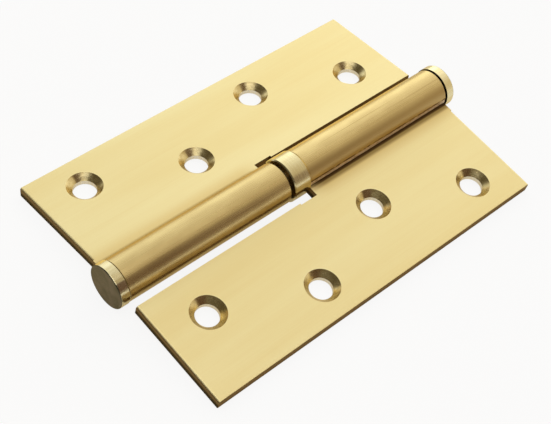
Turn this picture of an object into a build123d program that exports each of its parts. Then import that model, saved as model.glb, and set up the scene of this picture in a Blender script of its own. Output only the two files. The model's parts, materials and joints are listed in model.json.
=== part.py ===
"""Lift-off butt hinge with two rolled leaves, a fixed pin, a bearing ring and two end caps.

The hinge lies open on a table with its countersunk faces up. The barrel runs along X, the lift leaf
points to +Y, the pin leaf to -Y, and Z is up. The origin is under the middle of the barrel, on the table.
Each leaf is one blank: a flat plate, swaged down to the underside of the barrel and rolled once round
the bore, until its tip comes down on the countersunk face again.
"""

import os
from math import asin, atan2, cos, degrees, hypot, radians, sin, sqrt

from build123d import *

# Leaf blank
leaf_length = 100.0
leaf_width = 35.0
sheet = 2.5
end_roll = 0.6
edge_break = 0.2
edge_clearance = 2.1
notch_length = 5.0
notch_depth = 0.4

# Rolled knuckle
bore_diameter = 5.5
closed_gap = 0.5
swage_inside_radius = 0.5
seam_gap = 0.3
tip_land_angle = 16.0
tip_land_depth = 0.2
knuckle_break = 0.2

# Screw holes: two staggered rows, in turn far from the barrel and near it
hole_pitch = 25.4
hole_count = 4
near_row = 17.25
far_row = 26.65
hole_diameter = 5.7
countersink_diameter = 8.6
countersink_angle = 90.0

# Bearing ring
ring_width = 5.0
ring_proud = 0.35
ring_chamfer = 0.25
ring_seat_gap = 0.05
end_float = 1.0

# Hinge pin
pin_clearance = 0.05
pin_end_gap = 2.0
pin_lead_in = 0.2
pin_tip_chamfer = 1.0

# End caps
cap_head = 2.4
cap_proud = 0.15
cap_edge_radius = 0.3
cap_stem = 7.0
cap_stem_chamfer = 0.5
lift_cap_gap = 0.1
pin_cap_gap = 0.4

# Sizes that follow
bore_radius = bore_diameter / 2
barrel_radius = bore_radius + sheet
ring_radius = barrel_radius + ring_proud
cap_radius = barrel_radius + cap_proud
axis_height = max(barrel_radius, ring_radius, cap_radius)
face_drop = closed_gap / 2
back_drop = face_drop + sheet
leaf_end = leaf_length / 2
knuckle_length = (leaf_length - ring_width - end_float) / 2
knuckle_end = leaf_end - knuckle_length
inner_edge = barrel_radius + edge_clearance
notch_edge = inner_edge + notch_depth

# Both leaves slope down to the table, where their outer lower edges lie level with the barrel's underside
slope = asin(axis_height / hypot(leaf_width, back_drop)) - atan2(back_drop, leaf_width)

# The swage bend touches the bore's circle where the line between the two centres crosses it
swage_radius = sheet + swage_inside_radius
swage_drop = face_drop + swage_radius
swage_reach = sqrt((bore_radius + swage_radius) ** 2 - swage_drop**2)
swage_centre = (swage_reach, -swage_drop)
roll_start = -degrees(atan2(swage_drop, swage_reach))
swage_turn = 90.0 + roll_start

# The tip of the roll stops a hair above the countersunk face
tip_level = seam_gap - face_drop
land_radius = barrel_radius - tip_land_depth
tip_inner = (sqrt(bore_radius**2 - tip_level**2), tip_level)
tip_outer = (sqrt(land_radius**2 - tip_level**2), tip_level)
tip_inner_angle = degrees(atan2(tip_inner[1], tip_inner[0]))

# Radii closer than this are the same
same_size = 1e-6

barrel_axis = Axis((0, 0, axis_height), (1, 0, 0))
barrel_plane = Plane((0, 0, axis_height), x_dir=(1, 0, 0), z_dir=(0, -1, 0))


def on_circle(radius, angle):
    """Point of the knuckle's cross-section at an angle above the leaf."""
    return (radius * cos(radians(angle)), radius * sin(radians(angle)))


def rolled_leaf(side):
    """One leaf, pointing to +Y for side 1 and to -Y for side -1: one blank, turned half a turn about Z."""
    outward = (0, side * cos(slope), -sin(slope))
    normal = (0, side * sin(slope), cos(slope))
    section = Plane((-side * leaf_end, 0, axis_height), x_dir=outward, z_dir=(side, 0, 0))
    face = Plane((0, 0, axis_height), x_dir=(side, 0, 0), z_dir=normal).offset(-face_drop)
    rows = (far_row, near_row)
    first_hole = -hole_pitch * (hole_count - 1) / 2
    holes = [(first_hole + i * hole_pitch, rows[i % 2]) for i in range(hole_count)]

    with BuildPart() as leaf:
        # Flat plate with a relief notch beside the knuckle, its ends rolled over where the die cropped them
        with BuildSketch(face):
            with BuildLine():
                Polyline(
                    (-leaf_end, notch_edge),
                    (-leaf_end, leaf_width),
                    (leaf_end, leaf_width),
                    (leaf_end, inner_edge),
                    (notch_length - knuckle_end, inner_edge),
                    (notch_length - knuckle_end, notch_edge),
                    close=True,
                )
            make_face()
        extrude(amount=-sheet)
        end_rims = leaf.edges().filter_by(Axis(face.origin, outward)).group_by(Axis(face.origin, normal))[-1]
        fillet([end_rims.sort_by(Axis.X)[0], end_rims.sort_by(Axis.X)[-1]], end_roll)
        long_rims = leaf.edges().filter_by(Axis.X).group_by(Axis(face.origin, normal))[-1]
        fillet(long_rims.sort_by(Axis(face.origin, outward))[-1], edge_break)

        # Roll round the bore, with its sharp outer rims broken
        with BuildSketch(section):
            with BuildLine():
                CenterArc((0, 0), bore_radius, roll_start, tip_inner_angle - 360 - roll_start)
                Line(tip_inner, tip_outer)
                Line(tip_outer, on_circle(land_radius, tip_land_angle))
                Line(on_circle(land_radius, tip_land_angle), on_circle(barrel_radius, tip_land_angle))
                CenterArc((0, 0), barrel_radius, roll_start, tip_land_angle - 360 - roll_start)
                Line(on_circle(barrel_radius, roll_start), on_circle(bore_radius, roll_start))
            make_face()
        extrude(amount=knuckle_length)
        arcs = leaf.edges().filter_by(GeomType.CIRCLE)
        chamfer(arcs.filter_by(lambda arc: abs(arc.radius - barrel_radius) < same_size), knuckle_break)

        # Swage bend between the plate and the roll
        with BuildSketch(section):
            with BuildLine():
                Line((notch_edge, -face_drop), (swage_reach, -face_drop))
                CenterArc(swage_centre, swage_radius, 90, swage_turn)
                Line(on_circle(bore_radius, roll_start), on_circle(barrel_radius, roll_start))
                CenterArc(swage_centre, swage_inside_radius, 90, swage_turn)
                Line((swage_reach, -back_drop), (notch_edge, -back_drop))
                Line((notch_edge, -back_drop), (notch_edge, -face_drop))
            make_face()
        extrude(amount=knuckle_length)

        # Countersunk screw holes
        with Locations(face):
            with Locations(*holes):
                CounterSinkHole(
                    hole_diameter / 2,
                    countersink_diameter / 2,
                    depth=sheet,
                    counter_sink_angle=countersink_angle,
                )
    return leaf


def end_cap(side, gap):
    """Turned cap in the outer end of a knuckle: a head with a rounded rim on a stem pressed into the bore."""
    seat = side * leaf_end
    with BuildPart() as cap:
        with BuildSketch(barrel_plane):
            with BuildLine():
                Polyline(
                    (seat - side * cap_stem, 0),
                    (seat - side * cap_stem, bore_radius - cap_stem_chamfer),
                    (seat - side * (cap_stem - cap_stem_chamfer), bore_radius),
                    (seat + side * gap, bore_radius),
                    (seat + side * gap, cap_radius),
                    (seat + side * (gap + cap_head), cap_radius),
                    (seat + side * (gap + cap_head), 0),
                    close=True,
                )
            make_face()
        revolve(axis=barrel_axis)
        outer_face = cap.faces().sort_by(Axis.X)[-1 if side > 0 else 0]
        fillet(outer_face.edges(), cap_edge_radius)
    return cap


lift_leaf = rolled_leaf(1)
pin_leaf = rolled_leaf(-1)
lift_leaf_cap = end_cap(-1, lift_cap_gap)
pin_leaf_cap = end_cap(1, pin_cap_gap)

# Bearing ring between the knuckles, resting on the pin leaf's knuckle
ring_right = knuckle_end - ring_seat_gap
ring_left = knuckle_end - ring_width
with BuildPart() as bearing_ring:
    with BuildSketch(barrel_plane):
        with BuildLine():
            Polyline(
                (ring_left, bore_radius),
                (ring_left, ring_radius - ring_chamfer),
                (ring_left + ring_chamfer, ring_radius),
                (ring_right - ring_chamfer, ring_radius),
                (ring_right, ring_radius - ring_chamfer),
                (ring_right, bore_radius),
                close=True,
            )
        make_face()
    revolve(axis=barrel_axis)

# Pin: pressed into the pin leaf's bore, a running fit in the ring and in the lift leaf's bore,
# with a little room at both ends before the caps' stems
press_start = knuckle_end + pin_lead_in
press_end = leaf_end - cap_stem - pin_end_gap
pin_radius = bore_radius - pin_clearance
pin_tip = -leaf_end + cap_stem + pin_end_gap
with BuildPart() as hinge_pin:
    with BuildSketch(barrel_plane):
        with BuildLine():
            Polyline(
                (pin_tip, 0),
                (pin_tip, pin_radius - pin_tip_chamfer),
                (pin_tip + pin_tip_chamfer, pin_radius),
                (press_start, pin_radius),
                (press_start, bore_radius),
                (press_end, bore_radius),
                (press_end, 0),
                close=True,
            )
        make_face()
    revolve(axis=barrel_axis)

os.makedirs("parts", exist_ok=True)
pieces = {
    "lift_leaf": lift_leaf,
    "pin_leaf": pin_leaf,
    "lift_leaf_cap": lift_leaf_cap,
    "pin_leaf_cap": pin_leaf_cap,
    "bearing_ring": bearing_ring,
    "hinge_pin": hinge_pin,
}
for name, piece in pieces.items():
    piece.part.label = name
    export_step(piece.part, f"parts/{name}.step")

print(f"leaves slope {degrees(slope):.2f} degrees, barrel axis {axis_height:.2f} mm above the table")
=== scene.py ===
# %% [markdown]
# # A lift-off hinge in satin brass
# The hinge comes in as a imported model: two leaves rolled from sheet, a steel pin, a bearing ring and two
# turned end caps, each already at its real size and place. Blender adds what the eye sees: brushed, turned
# and sheared brass, a white table, soft light and the camera. No shape is changed here, because the shapes
# belong to the model, so this lesson is about finishes that follow how each surface was made.

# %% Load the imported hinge
import json
from math import atan2, cos, degrees, hypot, pi, radians, sin

import bpy
from mathutils import Matrix, Vector


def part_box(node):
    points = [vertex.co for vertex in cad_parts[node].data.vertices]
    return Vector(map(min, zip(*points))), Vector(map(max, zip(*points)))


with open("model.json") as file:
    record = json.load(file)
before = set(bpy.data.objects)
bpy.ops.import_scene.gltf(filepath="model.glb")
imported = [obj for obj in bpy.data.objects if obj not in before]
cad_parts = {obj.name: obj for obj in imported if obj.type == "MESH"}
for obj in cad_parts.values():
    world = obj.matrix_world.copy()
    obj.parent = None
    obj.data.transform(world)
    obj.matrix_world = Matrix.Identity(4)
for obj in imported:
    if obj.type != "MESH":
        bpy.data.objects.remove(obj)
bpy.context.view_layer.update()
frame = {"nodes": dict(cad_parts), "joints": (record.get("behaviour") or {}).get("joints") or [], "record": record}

MM = 0.001
nodes = frame["nodes"]
print("pieces:", ", ".join(sorted(nodes)))

# %% [markdown]
# The sizes that the finishes need are read back from the model: the barrel's axis from the swing joint, its
# radius from a leaf's own box, the slope of the leaves from a mount in the record, and the level of their
# brushed faces from the flat part of a leaf's mesh. Typed in a second time, they could come to disagree.

# %% Read the sizes
swing = next(joint for joint in frame["joints"] if joint["name"] == "swing")
axis_height = swing["pos_m"][2]
barrel_middle = Vector((0, 0, axis_height))
barrel_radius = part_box("lift_leaf")[1].z - axis_height
mounts = frame["record"]["mounts"]
leaf_back = next(mount for mount in mounts if mount["name"] == "lift_leaf_back")
leaf_up = -Vector(leaf_back["axis"])
flat_from = 2 * barrel_radius
lift_points = [vertex.co for vertex in nodes["lift_leaf"].data.vertices]
face_level = max((point - barrel_middle).dot(leaf_up) for point in lift_points if point.y > flat_from)
print(f"barrel radius {barrel_radius / MM:.2f} mm, axis {axis_height / MM:.2f} mm above the table")
print(f"brushed faces {-face_level / MM:.2f} mm below the axis")

# %% [markdown]
# A finish is a tree of shader nodes, and most of it is arithmetic. Wiring Math nodes one by one hides the
# idea, so one small class wraps a socket: adding or multiplying two of them adds the Math node and gives
# back its output. Every other kind of node comes from one method, which takes the node's type, its
# settings, and the values or links of its sockets.


# %% A socket that does sums
class Field:
    """A value that varies over a surface, as the output socket of a node."""

    def __init__(self, tree, socket):
        self.tree = tree
        self.socket = socket

    @staticmethod
    def node(tree, kind, settings=None, inputs=None, output=0):
        """Add any node: settings first, then its sockets' values or links; one output comes back."""
        made = tree.nodes.new(kind)
        for name, value in (settings or {}).items():
            setattr(made, name, value)
        for name, value in (inputs or {}).items():
            if isinstance(value, Field):
                tree.links.new(value.socket, made.inputs[name])
            else:
                made.inputs[name].default_value = value
        return Field(tree, made.outputs[output]) if made.outputs else None

    def math(self, operation, first, second=0.0):
        return Field.node(self.tree, "ShaderNodeMath", {"operation": operation}, {0: first, 1: second})

    def __add__(self, other):
        return self.math("ADD", self, other)

    def __radd__(self, other):
        return self.math("ADD", other, self)

    def __sub__(self, other):
        return self.math("SUBTRACT", self, other)

    def __rsub__(self, other):
        return self.math("SUBTRACT", other, self)

    def __mul__(self, other):
        return self.math("MULTIPLY", self, other)

    def __rmul__(self, other):
        return self.math("MULTIPLY", other, self)

    def __neg__(self):
        return self * -1.0

    def sign(self):
        return self.math("SIGN", self)

    def root(self):
        return self.math("SQRT", self)

    def weigh(self, other, share):
        """This value with a share of another one."""
        return self * (1 - share) + other * share

    def span(self, start, end):
        """Goes straight from start to end while this value goes from 0 to 1."""
        return start + (end - start) * self

    def ease(self, low, high, start=0.0, end=1.0):
        """Goes smoothly from start to end while this value goes from low to high."""
        settings = {"interpolation_type": "SMOOTHSTEP"}
        inputs = {"Value": self, "From Min": low, "From Max": high, "To Min": start, "To Max": end}
        return Field.node(self.tree, "ShaderNodeMapRange", settings, inputs)

    def blend(self, first, second):
        """Colour that goes from first to second while this value goes from 0 to 1."""
        inputs = {0: self, 6: first, 7: second}
        return Field.node(self.tree, "ShaderNodeMix", {"data_type": "RGBA"}, inputs, output=2)


print("sums on sockets are ready")

# %% [markdown]
# A finish has to know where on the hinge it is. Object coordinates give the place, here in millimetres, and
# from it come two measures that several finishes share: how far a spot lies out from the barrel, towards
# the leaf of its knuckle, and how high it lies above the brushed face of its leaf. The lift leaf's knuckle
# has negative X and its leaf on the +Y side, and the pin leaf's has both the other way round, so the sign
# of X tells which side is meant.


# %% Places on the hinge
def surface(tree):
    """Place on the piece in millimetres, as a vector field."""
    place = Field.node(tree, "ShaderNodeTexCoord", output="Object")
    inputs = {0: place, "Scale": 1 / MM}
    return Field.node(tree, "ShaderNodeVectorMath", {"operation": "SCALE"}, inputs)


def split(vector):
    """The three components of a vector field."""
    first = Field.node(vector.tree, "ShaderNodeSeparateXYZ", None, {0: vector})
    return [Field(vector.tree, socket) for socket in first.socket.node.outputs]


def beside_barrel(place):
    """Distance from the barrel's axis in barrel radii, counted towards the leaf of the knuckle."""
    x, y, _ = split(place)
    return y * (-x).sign() * (MM / barrel_radius)


def above_face(place):
    """Height above a leaf's brushed face in millimetres; both leaves slope alike, away from the barrel."""
    _, y, z = split(place)
    return y * y.sign() * leaf_up.y + (z - axis_height / MM) * leaf_up.z - face_level / MM


print("places are in millimetres")

# %% [markdown]
# Noise stands in for the marks of tools and handling. Its spots can be stretched along each axis. Its values
# crowd round one half, so a pair of limits says how sharply it parts two tints.

# %% Noise and tints
soft = (0.25, 0.75)
even = (0.3, 0.7)
crisp = (0.35, 0.65)


def noise(vector, size, detail=2.0):
    """Cloudy noise from 0 to 1 whose spots have the given size along each axis, in millimetres."""
    tree = vector.tree
    stretch = tuple(1 / length for length in size)
    scaled = Field.node(tree, "ShaderNodeVectorMath", {"operation": "MULTIPLY"}, {0: vector, 1: stretch})
    return Field.node(tree, "ShaderNodeTexNoise", None, {"Vector": scaled, "Scale": 1.0, "Detail": detail})


def rgb(red, green, blue):
    return (red, green, blue, 1.0)


print("limits for noise:", soft, even, crisp)

# %% [markdown]
# Every finish here is bare metal, so they share one recipe. Its colour is a tint with a little noise, its
# gloss varies with the same noise, and fine grooves tilt the light through a Bump node. What differs is
# the direction of the grooves. Brushing leaves long lines along the barrel, so the noise is stretched along
# X. A lathe leaves rings round the barrel, so there the noise depends on X and on the radius alone. At a
# glancing angle metal turns paler, and one tint for that angle serves every finish.

# %% The recipe for metal
glancing = rgb(0.92, 0.80, 0.58)


def blank_material(name):
    """New material with no nodes yet."""
    material = bpy.data.materials.new(name)
    material.use_nodes = True
    material.node_tree.nodes.clear()
    return material


def metal(build, depth):
    """New metal, named after the function that turns a place into a colour, a roughness and grooves."""
    material = blank_material(build.__name__)
    tree = material.node_tree
    colour, roughness, grooves = build(surface(tree))
    relief = {"Height": grooves, "Strength": 1.0, "Distance": depth * MM}
    inputs = {
        "Base Color": colour,
        "Metallic": 1.0,
        "Roughness": roughness,
        "Normal": Field.node(tree, "ShaderNodeBump", None, relief),
        "Specular Tint": glancing,
    }
    shader = Field.node(tree, "ShaderNodeBsdfPrincipled", None, inputs)
    Field.node(tree, "ShaderNodeOutputMaterial", None, {"Surface": shader})
    print("finish:", material.name, "with", len(tree.nodes), "nodes")


# %% [markdown]
# The flat faces of the leaves are belt-brushed along the barrel and plated a pale gold. The belt leaves
# grooves a tenth of a millimetre wide and centimetres long, and slow bands where it pressed harder. One
# noise stretched along X makes the grooves, and a wider one makes the bands. Beside the knuckle the gold
# is darkened in three steps: painted shade where the barrel shades the face and mirrors in it, and a painted
# shadow in the corner itself. Only the half of a leaf that carries the knuckle has that corner, so the
# painted shade fades out towards the other half.

# %% Brushed faces
groove_length = 30.0
groove_width = 0.12
groove_depth = 0.006
groove_share = 0.25
band_length = 70.0
band_width = 7.0
face_roughness = (0.40, 0.48)
face_pale = rgb(0.94, 0.83, 0.47)
face_deep = rgb(0.89, 0.74, 0.37)
# Painted shade on the face beside the knuckle, deepening to a painted shadow in the corner.
face_corner_shade = rgb(0.80, 0.62, 0.28)
face_contact_shade = rgb(0.42, 0.30, 0.11)
face_seam_shadow = rgb(0.14, 0.08, 0.03)
corner_shade_reach = (2.1, 1.1)
contact_shade_reach = (1.35, 1.17)
seam_shadow_reach = (1.12, 1.04)
shade_fade = (1.0, 8.0)


def belt_grooves(place):
    """Fine lines that the belt leaves along the barrel."""
    return noise(place, (groove_length, groove_width, groove_width))


def brushed_face(place):
    grooves = belt_grooves(place)
    bands = noise(place, (band_length, band_width, band_width), detail=5.0)
    colour = bands.weigh(grooves, groove_share).ease(*soft).blend(face_deep, face_pale)
    x, y, _ = split(place)
    # Painted shade and shadow beside the knuckle, only on the half of the leaf that carries it.
    shaded_half = (-x * y.sign()).ease(*shade_fade)
    beside = beside_barrel(place)
    shades = {corner_shade_reach: face_corner_shade, contact_shade_reach: face_contact_shade, seam_shadow_reach: face_seam_shadow}
    for reach, tint in shades.items():
        colour = (beside.ease(*reach) * shaded_half).blend(colour, tint)
    return colour, bands.span(*face_roughness), grooves


metal(brushed_face, groove_depth)

# %% [markdown]
# The knuckle is the same sheet, rolled in a die. Its outside is drawn over the tool, so it is a little
# smoother and deeper in colour, with faint dark lines along the barrel where the die rubbed, and soft clouds
# where it pressed. In the corner beside the leaf the metal is rougher, and its colour is darkened with
# painted shade. A painted shadow line runs along the edge above the tip of the roll, broken into dashes.

# %% Rolled knuckle
line_length = 90.0
line_width = 0.7
line_limits = (0.34, 0.44)
mottle_length = 9.0
mottle_width = 3.0
mottle_share = 0.35
roll_depth = 0.003
roll_roughness = (0.23, 0.31)
dull_roughness = 0.06
roll_pale = rgb(0.785, 0.62, 0.292)
roll_deep = rgb(0.58, 0.43, 0.19)
# Painted shade for the knuckle's corner beside the leaf.
roll_corner_shade = rgb(0.55, 0.39, 0.162)
dull_shade_reach = (0.45, 0.80)
# Painted shadow along the edge above the roll's tip.
arris_shadow_tint = rgb(0.16, 0.09, 0.03)
arris_shadow_heights = (2.15, 2.0)
arris_shadow_reach = (0.88, 0.92)
dash_length = 1.5
dash_width = 0.5
dash_limits = (0.40, 0.55)


def rolled_knuckle(place):
    beside = beside_barrel(place)
    # The corner beside the leaf: rougher metal, and painted shade in its colour.
    dull_shaded_corner = beside.ease(*dull_shade_reach)
    lines = noise(place, (line_length, line_width, line_width), detail=3.0)
    mottle = noise(place, (mottle_length, mottle_width, mottle_width)).ease(*crisp)
    paleness = lines.ease(*line_limits) * (1 - mottle_share * mottle)
    skin = dull_shaded_corner.blend(paleness.blend(roll_deep, roll_pale), roll_corner_shade)
    # A painted shadow line on the edge above the roll's tip, broken into dashes.
    arris_shadow = above_face(place).ease(*arris_shadow_heights) * beside.ease(*arris_shadow_reach)
    dashes = noise(place, (dash_length, dash_width, dash_width)).ease(*dash_limits)
    colour = (arris_shadow * dashes).blend(skin, arris_shadow_tint)
    return colour, lines.span(*roll_roughness) + dull_roughness * dull_shaded_corner, belt_grooves(place)


metal(rolled_knuckle, roll_depth)

# %% [markdown]
# Where the roll's tip comes down on the leaf, a narrow land is left that no belt reaches. It keeps the
# rough, speckled skin of the cropped strip under the plating, with a painted shadow line in the step above
# it and in the crack below it.

# %% Roll tip
speck_length = 1.05
speck_width = 0.35
speck_depth = 0.04
speck_limits = (0.30, 0.60)
tip_roughness = (0.62, 0.72)
tip_pale = rgb(0.98, 0.82, 0.60)
tip_dark = rgb(0.68, 0.51, 0.33)
# Painted shadow in the crack below the land and under the step above it.
tip_crack_shadow = rgb(0.12, 0.07, 0.02)
crack_shadow_heights = (0.30, 0.42)
step_shadow_heights = (1.70, 1.55)


def roll_tip(place):
    specks = noise(place, (speck_length, speck_width, speck_width), detail=4.0)
    height = above_face(place)
    # The land is darkened with painted shadow at its top and bottom.
    unshadowed_land = height.ease(*crack_shadow_heights) * height.ease(*step_shadow_heights)
    colour = unshadowed_land.blend(tip_crack_shadow, specks.ease(*speck_limits).blend(tip_dark, tip_pale))
    return colour, specks.span(*tip_roughness), specks


metal(roll_tip, speck_depth)

# %% [markdown]
# The leaf's edges are cut in two ways. The long ones are slit with the strip: they are smooth enough to take
# some plating, and are tinted a dark golden brown. The ends are cropped in a die. It first shears the sheet
# cleanly, which leaves a burnished strip below the face, and then tears the rest, which stays scratched.
# All these tints are far darker than the brass itself: painted shade, which keeps the edges dark.

# %% Slit and cropped edges
scratch_width = 0.25
slit_length = 8.0
slit_depth = 0.01
slit_roughness = (0.36, 0.46)
# Painted shade: the edge tints below are far darker than the brass itself.
slit_shade_pale = rgb(0.26, 0.14, 0.04)
slit_shade_dark = rgb(0.13, 0.07, 0.02)
crop_height = 4.0
crop_depth = 0.02
crop_roughness = (0.40, 0.50)
crop_burnish_shade = rgb(0.24, 0.15, 0.06)
crop_shade_pale = rgb(0.055, 0.033, 0.014)
crop_shade_dark = rgb(0.02, 0.012, 0.005)
burnish_heights = (-1.6, -0.8)


def slit_edge(place):
    scratches = noise(place, (slit_length, scratch_width, scratch_width), detail=3.0)
    colour = scratches.ease(*even).blend(slit_shade_dark, slit_shade_pale)
    return colour, scratches.span(*slit_roughness), scratches


def cropped_end(place):
    scratches = noise(place, (scratch_width, scratch_width, crop_height), detail=3.0)
    torn = scratches.ease(*even).blend(crop_shade_dark, crop_shade_pale)
    colour = above_face(place).ease(*burnish_heights).blend(torn, crop_burnish_shade)
    return colour, scratches.span(*crop_roughness), scratches


metal(slit_edge, slit_depth)
metal(cropped_end, crop_depth)

# %% [markdown]
# The countersinks are cut by a turning tool after the brushing, so they are glossier and darker than the
# faces, with flats where the cutter chattered. Below them the punch has left the bores bright.

# %% Countersinks and bores
chatter_size = 1.4
chatter_depth = 0.05
cutter_marks = (0.2, 0.2, 0.08)
cut_roughness = (0.20, 0.30)
cut_pale = rgb(0.87, 0.73, 0.39)
cut_dark = rgb(0.70, 0.56, 0.27)
punch_height = 4.0
punch_depth = 0.004
bore_roughness = (0.22, 0.32)
bore_pale = rgb(0.96, 0.90, 0.74)
bore_deep = rgb(0.90, 0.80, 0.58)


def countersink(place):
    chatter = noise(place, (chatter_size, chatter_size, chatter_size))
    colour = chatter.ease(*crisp).blend(cut_dark, cut_pale)
    return colour, noise(place, cutter_marks).span(*cut_roughness), chatter


def punched_bore(place):
    scratches = noise(place, (scratch_width, scratch_width, punch_height))
    colour = scratches.ease(*even).blend(bore_deep, bore_pale)
    return colour, scratches.span(*bore_roughness), scratches


metal(countersink, chatter_depth)
metal(punched_bore, punch_depth)

# %% [markdown]
# The ring is turned from bar and polished bright all over. A lathe's marks are rings about the barrel's axis,
# so on its flank the noise is short along X and much longer than the ring is wide across it.

# %% Turned ring
lathe_round = 20.0
turning_pitch = 0.15
turning_depth = 0.003
polish_cloud = (2.0, 4.0, 4.0)
polish_share = 0.5
flank_roughness = (0.15, 0.23)
flank_pale = rgb(0.88, 0.79, 0.48)
flank_deep = rgb(0.81, 0.69, 0.38)


def turned_flank(place):
    rings = noise(place, (turning_pitch, lathe_round, lathe_round))
    mixed = rings.weigh(noise(place, polish_cloud), polish_share)
    return mixed.ease(*even).blend(flank_deep, flank_pale), rings.span(*flank_roughness), rings


metal(turned_flank, turning_depth)

# %% [markdown]
# The caps are turned as well, but their flanks are then burnished by hand along the barrel, which leaves soft
# flats round them.

# %% Burnished caps
flat_length = 10.0
flat_width = 1.2
flat_depth = 0.06
cap_roughness = (0.15, 0.23)
cap_pale = rgb(0.95, 0.86, 0.55)
cap_deep = rgb(0.88, 0.76, 0.43)


def burnished_cap(place):
    flats = noise(place, (flat_length, flat_width, flat_width))
    return flats.ease(*even).blend(cap_deep, cap_pale), flats.span(*cap_roughness), flats


metal(burnished_cap, flat_depth)

# %% [markdown]
# The caps' end faces stay as the parting tool cut them, dull, with rings that show, and their dark tint is
# painted shade. There the noise is read by the distance from the barrel's axis instead of by Y and Z, which
# draws it out into rings.

# %% Parted end faces
parting_pitch = 0.25
parting_depth = 0.008
stain_size = (5.0, 3.0, 3.0)
stain_share = 0.6
parted_roughness = (0.32, 0.42)
# Painted shade: these end-face tints are far darker than the brass itself.
parted_shade_pale = rgb(0.215, 0.175, 0.125)
parted_shade_dark = rgb(0.10, 0.094, 0.056)


def parted_end(place):
    x, y, z = split(place)
    rise = z - axis_height / MM
    radius = (y * y + rise * rise).root()
    lathe = Field.node(place.tree, "ShaderNodeCombineXYZ", None, {0: x, 1: radius})
    rings = noise(lathe, (parting_pitch, parting_pitch, parting_pitch))
    mixed = rings.weigh(noise(place, stain_size), stain_share)
    return mixed.ease(*even).blend(parted_shade_dark, parted_shade_pale), rings.span(*parted_roughness), rings


metal(parted_end, parting_depth)

# %% [markdown]
# The pin is ground steel and shows only when the leaf is lifted off. Grinding leaves fine rings too.

# %% Ground pin
grinding_pitch = 0.1
grinding_depth = 0.004
pin_roughness = (0.22, 0.30)
pin_pale = rgb(0.62, 0.61, 0.59)
pin_dark = rgb(0.48, 0.47, 0.46)


def ground_pin(place):
    rings = noise(place, (grinding_pitch, lathe_round, lathe_round))
    return rings.ease(*even).blend(pin_dark, pin_pale), rings.span(*pin_roughness), rings


metal(ground_pin, grinding_depth)

# %% [markdown]
# One solid can carry several finishes: a leaf has seven. Each face is sorted by where it lies and which way
# it points, and gets the number of that finish's material slot. The faces keep their shape.


# %% Give each face its finish
def dress(piece, finishes, finish_of):
    """Fill a piece's material slots, and sort its faces into them by their centre and normal."""
    mesh = nodes[piece].data
    mesh.materials.clear()
    for finish in finishes:
        mesh.materials.append(bpy.data.materials[finish])
    tally = dict.fromkeys(finishes, 0)
    for face in mesh.polygons:
        finish = finish_of(face.center, face.normal)
        face.material_index = finishes.index(finish)
        tally[finish] += 1
    print(piece, tally)


# %% [markdown]
# The record's mounts say where the screw holes are: each is a pair of holes, given by its middle and by the
# distance between the two.


# %% Find the screw holes
def screw_holes(leaf):
    """Middle of each screw hole of a leaf, the direction of the holes and their radius."""
    found, axis, radius = [], None, None
    for mount in mounts:
        if mount["kind"] == "bolt_pattern" and mount["name"].startswith(leaf):
            middle = Vector(mount["pos_m"])
            reach = Vector((mount["dims"]["pcd_mm"] * MM / 2, 0, 0))
            found += [middle - reach, middle + reach]
            axis = Vector(mount["axis"])
            radius = mount["dims"]["hole_r_mm"] * MM
    return found, axis, radius


print("screw holes:", len(screw_holes("lift_leaf")[0]), "and", len(screw_holes("pin_leaf")[0]))

# %% [markdown]
# On a leaf, a face within a hole's rim that isn't flat is a countersink, or a bore where it stands upright.
# One close to the barrel's axis is the knuckle, or the tip of its roll. One that turns away from the flat
# is a cropped end or a slit edge, by the way it faces. What is left is brushed.

# %% Dress the leaves
leaf_finishes = [
    "brushed_face",
    "rolled_knuckle",
    "roll_tip",
    "slit_edge",
    "cropped_end",
    "countersink",
    "punched_bore",
]
side_of = {"lift_leaf": 1, "pin_leaf": -1}
tip_angles = (-4.0, 17.0)
tip_depth = 0.05 * MM
rim_margin = 2.0 * MM
square = 0.95
upturned = 0.1
turned_away = 0.6


def leaf_sorter(leaf, side):
    """Function that names the finish of a leaf's face."""
    holes, upright, hole_radius = screw_holes(leaf)
    outward = Vector((0, side * upright.z, -side * upright.y))

    def finish_of(centre, normal):
        flatness = abs(normal.dot(upright))
        for hole in holes:
            arm = centre - hole
            across = (arm - upright * arm.dot(upright)).length
            if across < hole_radius + rim_margin and flatness < square:
                return "punched_bore" if flatness < upturned else "countersink"
        arm = centre - barrel_middle
        reach, rise = arm.dot(outward), arm.dot(upright)
        from_axis = hypot(reach, rise)
        if from_axis < barrel_radius + tip_depth:
            if abs(normal.x) > square:
                return "cropped_end"
            on_tip = tip_angles[0] < degrees(atan2(rise, reach)) < tip_angles[1]
            return "roll_tip" if on_tip and from_axis < barrel_radius - tip_depth else "rolled_knuckle"
        if flatness > turned_away:
            return "brushed_face"
        return "cropped_end" if abs(normal.x) > turned_away else "slit_edge"

    return finish_of


for leaf, side in side_of.items():
    dress(leaf, leaf_finishes, leaf_sorter(leaf, side))

# %% [markdown]
# A cap has two finishes, parted by the way a face points: the rounded rim goes with the end. The ring and
# the pin have one each.

# %% Dress the turned pieces and the pin
rim_turn = 0.3


def cap_sorter(centre, normal):
    """Finish of a cap's face."""
    return "parted_end" if abs(normal.x) > rim_turn else "burnished_cap"


for cap in ("lift_leaf_cap", "pin_leaf_cap"):
    dress(cap, ["burnished_cap", "parted_end"], cap_sorter)
dress("bearing_ring", ["turned_flank"], lambda centre, normal: "turned_flank")
dress("hinge_pin", ["ground_pin"], lambda centre, normal: "ground_pin")

# %% [markdown]
# The table is plain white and matt. A matt white that fills the picture comes out a little grey, so to the
# camera, and to the metal that mirrors it, the table also glows like a light table. The glow lights nothing
# else, and the hinge's own soft shadow stays on the matt part. In the metal the glow is weaker, so that the
# barrel's flank also mirrors the shade below it.

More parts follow.
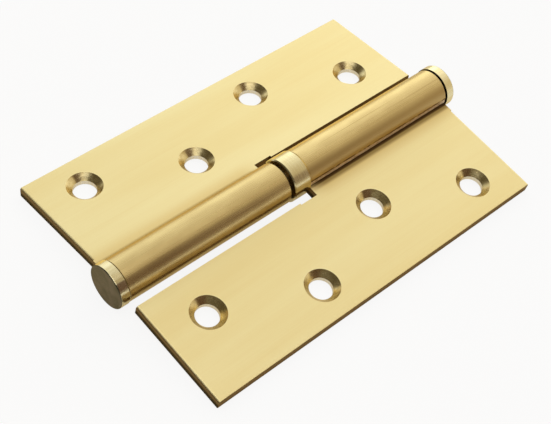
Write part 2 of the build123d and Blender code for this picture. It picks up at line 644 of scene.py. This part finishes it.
# %% Table
table_half = 3.0
table_white = rgb(0.95, 0.95, 0.95)
table_glow = 0.88
mirror_glow = 0.2
corner_signs = ((-1, -1), (1, -1), (1, 1), (-1, 1))
table_corners = [(table_half * x, table_half * y, 0) for x, y in corner_signs]
table_mesh = bpy.data.meshes.new("table")
table_mesh.from_pydata(table_corners, [], [(0, 1, 2, 3)])
table = bpy.data.objects.new("table", table_mesh)
bpy.context.scene.collection.objects.link(table)

table_paint = blank_material("table_paint")
paint = table_paint.node_tree
matt = Field.node(paint, "ShaderNodeBsdfDiffuse", None, {"Color": table_white})
glow = Field.node(paint, "ShaderNodeEmission", None, {"Strength": 1.0})
seen, mirrored, through = [
    Field.node(paint, "ShaderNodeLightPath", output=ray)
    for ray in ("Is Camera Ray", "Is Glossy Ray", "Is Transmission Ray")
]
shown = table_glow * seen + mirror_glow * (mirrored + through)
top = Field.node(paint, "ShaderNodeMixShader", None, {0: shown, 1: matt, 2: glow})
Field.node(paint, "ShaderNodeOutputMaterial", None, {"Surface": top})
table_mesh.materials.append(table_paint)
print("table glow", table_glow)

# %% [markdown]
# Brushed metal shows its surroundings, so the room matters as much as the lamp. Behind the hinge stands a
# white screen. From there the room shades off over a pale wall to a warm, dim ceiling in front, which
# gives the leaves their soft gradient and the barrel its roundness. A dark curtain in front draws the brown
# shade along the barrel. It has an edge on the right, so the far knuckle mirrors less of it. The left side
# of the room is dark, which is what the right-hand walls of the countersinks mirror. All of it is a little
# brighter towards the right.

# %% Room
backwards = Vector((0.0, 0.8, -0.6))
leftwards = Vector((-1.0, 0.0, 0.0))
ceiling_tint = rgb(0.50, 0.42, 0.29)
wall_tint = rgb(0.98, 0.96, 0.88)
wall_edge = (-1.0, 0.1)
screen_tint = rgb(1.28, 1.31, 1.28)
screen_edge = (0.0, 0.5)
curtain_tint = rgb(0.14, 0.085, 0.065)
curtain_direction = Vector((0.12, -0.87, 0.42)).normalized()
curtain_edge = (cos(radians(34)), cos(radians(25)))
curtain_side = (-0.57, -0.53)
dark_tint = rgb(0.13, 0.11, 0.075)
dark_edge = (0.05, 0.55)
right_edge = (-0.66, -0.38)
right_strength = (1.25, 0.80)

world = bpy.data.worlds.new("room")
bpy.context.scene.world = world
world.use_nodes = True
room = world.node_tree
room.nodes.clear()
direction = Field.node(room, "ShaderNodeTexCoord", output="Generated")


def facing(towards):
    """Cosine of the angle between the direction looked at and a fixed one."""
    inputs = {0: direction, 1: towards}
    return Field.node(room, "ShaderNodeVectorMath", {"operation": "DOT_PRODUCT"}, inputs, output="Value")


light = facing(backwards).ease(*wall_edge).blend(ceiling_tint, wall_tint)
light = facing(backwards).ease(*screen_edge).blend(light, screen_tint)
curtain = facing(curtain_direction).ease(*curtain_edge) * facing(leftwards).ease(*curtain_side)
light = curtain.blend(light, curtain_tint)
light = facing(leftwards).ease(*dark_edge).blend(light, dark_tint)
strength = facing(leftwards).ease(*right_edge, *right_strength)
background = Field.node(room, "ShaderNodeBackground", None, {"Color": light, "Strength": strength})
Field.node(room, "ShaderNodeOutputWorld", None, {"Surface": background})
print("room with", len(room.nodes), "nodes")

# %% [markdown]
# One large soft lamp, high over the near end, lights the table and gives the shadow its direction. A sun
# with a wide angle lights evenly, where an area lamp would fade towards the edges of the picture, and it is
# spread so wide that the polished pieces mirror no glint of it. A sun of strength pi lights matt white that
# faces it to full white, and a quarter of that is enough beside the light of the room.

# %% Lamp
lamp_strength = 0.25 * pi
lamp_spread = radians(60)
lamp_from = Vector((-0.20, -0.20, 0.96))
lamp = bpy.data.lights.new("soft_lamp", "SUN")
lamp.energy = lamp_strength
lamp.angle = lamp_spread
lamp_object = bpy.data.objects.new("soft_lamp", lamp)
lamp_object.rotation_euler = lamp_from.to_track_quat("Z", "Y").to_euler()
bpy.context.scene.collection.objects.link(lamp_object)
print("lamp from", tuple(lamp_from))

# %% [markdown]
# The camera stands where the picture was taken from: a long lens, high over the near end of the barrel,
# turned a little on its own axis. Its place is given by angles about the middle of the barrel and by how
# far that point sits from the centre of the picture.

# %% Camera
picture_width = 551
focal_pixels = 1264.0
view_azimuth = radians(-52.17)
view_elevation = radians(50.74)
view_roll = radians(12.86)
view_distance = 294.8 * MM
barrel_right = 2.46 * MM
barrel_up = 8.06 * MM

level_right = Vector((cos(view_azimuth), sin(view_azimuth), 0))
level_back = Vector((sin(view_azimuth), -cos(view_azimuth), 0))
back = cos(view_elevation) * level_back + Vector((0, 0, sin(view_elevation)))
right = cos(view_roll) * level_right + sin(view_roll) * back.cross(level_right)
up = back.cross(right)
eye = barrel_middle + back * view_distance - right * barrel_right - up * barrel_up

lens = bpy.data.cameras.new("camera")
lens.sensor_width = 36.0
lens.lens = lens.sensor_width * focal_pixels / picture_width
lens.clip_start = 0.01
lens.clip_end = 20.0
camera = bpy.data.objects.new("camera", lens)
camera.matrix_world = Matrix.Translation(eye) @ Matrix((right, up, back)).transposed().to_4x4()
bpy.context.scene.collection.objects.link(camera)
bpy.context.scene.camera = camera
print(f"lens {lens.lens:.1f} mm")

# %% [markdown]
# Colours come out as they are written, with no film look on top.

# %% Finish
bpy.context.scene.view_settings.view_transform = "Standard"
